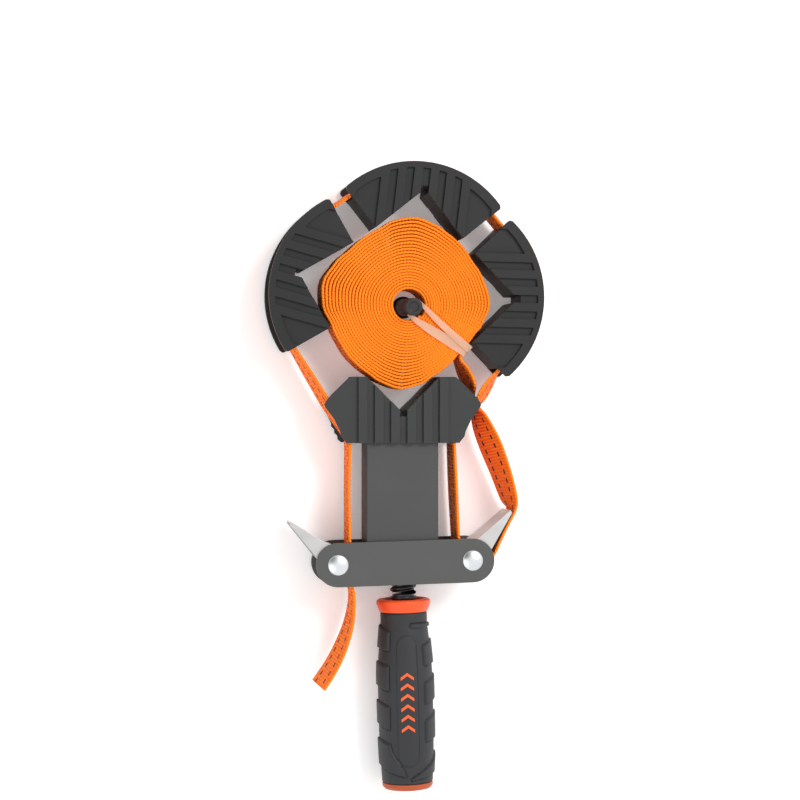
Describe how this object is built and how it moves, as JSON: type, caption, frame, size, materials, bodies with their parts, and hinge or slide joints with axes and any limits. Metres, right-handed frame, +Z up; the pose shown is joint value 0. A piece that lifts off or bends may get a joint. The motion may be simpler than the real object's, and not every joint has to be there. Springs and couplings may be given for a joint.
{
  "type": "band clamp",
  "caption": "Quick-release band clamp with loose corner jaws, webbing band on a storage roll, sliding screw crossbar, cam levers and a soft-grip handle.",
  "frame": {"origin": "on the bench plane under the crossbar, on the channel's centreline, with the clamp lying on its back", "axes": "+Z up out of the bench, +Y from the handle to the top jaw, +X to the right seen from above"},
  "size_m": [0.1543, 0.3507, 0.0371],
  "materials": {
    "jaw_nylon": "black glass-filled nylon, fine moulded texture",
    "black_powder": "black textured powder coat",
    "webbing": "orange woven polyester webbing with black tracer threads",
    "peg_plastic": "black moulded plastic",
    "pale_elastic": "pale translucent flat elastic band",
    "zinc": "bright zinc plate",
    "plain_steel": "plain machined steel",
    "lever_steel": "bright sheet steel",
    "spring_steel": "drawn spring wire",
    "black_screw": "black oxide on a coarse thread",
    "orange_plastic": "orange moulded plastic",
    "core_plastic": "hard moulded plastic core",
    "grip_rubber": "black soft-touch grip"
  },
  "bodies": {
    "frame": {"head_jaw": "jaw_nylon", "channel": "black_powder", "thrust_seat": "plain_steel", "head_pin_left": "zinc", "head_pin_right": "zinc", "band_round_jaws": "webbing", "band_run_left": "webbing", "band_run_right": "webbing", "band_loop": "webbing", "band_roll": "webbing", "storage_peg": "peg_plastic", "retaining_band": "pale_elastic"},
    "crossbar": {"plate_front": "black_powder", "plate_rear": "black_powder", "spindle_nut": "plain_steel", "nut_screws": "zinc", "rivet_left": "zinc", "rivet_right": "zinc", "anvil_left": "plain_steel", "anvil_right": "plain_steel", "band_tail": "webbing", "band_return": "webbing"},
    "screw": {"spindle": "black_screw", "thrust_ring": "plain_steel", "handle_core": "core_plastic", "handle_collar": "orange_plastic", "grip_sleeve": "grip_rubber", "end_cap": "orange_plastic", "handle_pin": "plain_steel"},
    "left_lever": {"lever_left": "lever_steel", "lever_spring_left": "spring_steel"},
    "right_lever": {"lever_right": "lever_steel", "lever_spring_right": "spring_steel"},
    "left_jaw": {"jaw_left": "jaw_nylon"},
    "top_jaw": {"jaw_top": "jaw_nylon"},
    "right_jaw": {"jaw_right": "jaw_nylon"}
  },
  "joints": [
    {"name": "screw_turn", "type": "hinge", "parent": "frame", "child": "screw", "pos_m": [0, 0.062, 0.0165], "axis": [0.0244, -0.9997, 0], "range_deg": [-360, 3600]},
    {"name": "crossbar_travel", "type": "slide", "parent": "frame", "child": "crossbar", "axis": [-0.0244, 0.9997, 0], "range_m": [-0.004, 0.04], "deforming": ["band_run_left", "band_run_right", "band_loop"]},
    {"name": "left_lever_hinge", "type": "hinge", "parent": "crossbar", "child": "left_lever", "pos_m": [-0.03622, -0.0009, 0.0165], "axis": [0, 0, 1], "range_deg": [-28, 0], "stiffness_Nm_per_rad": 0.03, "springref_deg": 20.05},
    {"name": "right_lever_hinge", "type": "hinge", "parent": "crossbar", "child": "right_lever", "pos_m": [0.03925, 0.00094, 0.0165], "axis": [0, 0, 1], "range_deg": [0, 28], "stiffness_Nm_per_rad": 0.03, "springref_deg": -20.05},
    {"name": "left_jaw_shift", "type": "hinge", "parent": "frame", "child": "left_jaw", "pos_m": [0.0018, 0.144, 0.0165], "axis": [0, 0, 1], "range_deg": [-1.8, 1.8]},
    {"name": "top_jaw_shift", "type": "hinge", "parent": "frame", "child": "top_jaw", "pos_m": [0.0018, 0.144, 0.0165], "axis": [0, 0, 1], "range_deg": [-1.8, 1.8]},
    {"name": "right_jaw_shift", "type": "hinge", "parent": "frame", "child": "right_jaw", "pos_m": [0.0018, 0.144, 0.0165], "axis": [0, 0, 1], "range_deg": [-1.8, 1.8]}
  ],
  "couplings": [
    {"joint": "crossbar_travel", "follows": "screw_turn", "m_per_rad": 0.00063662}
  ]
}
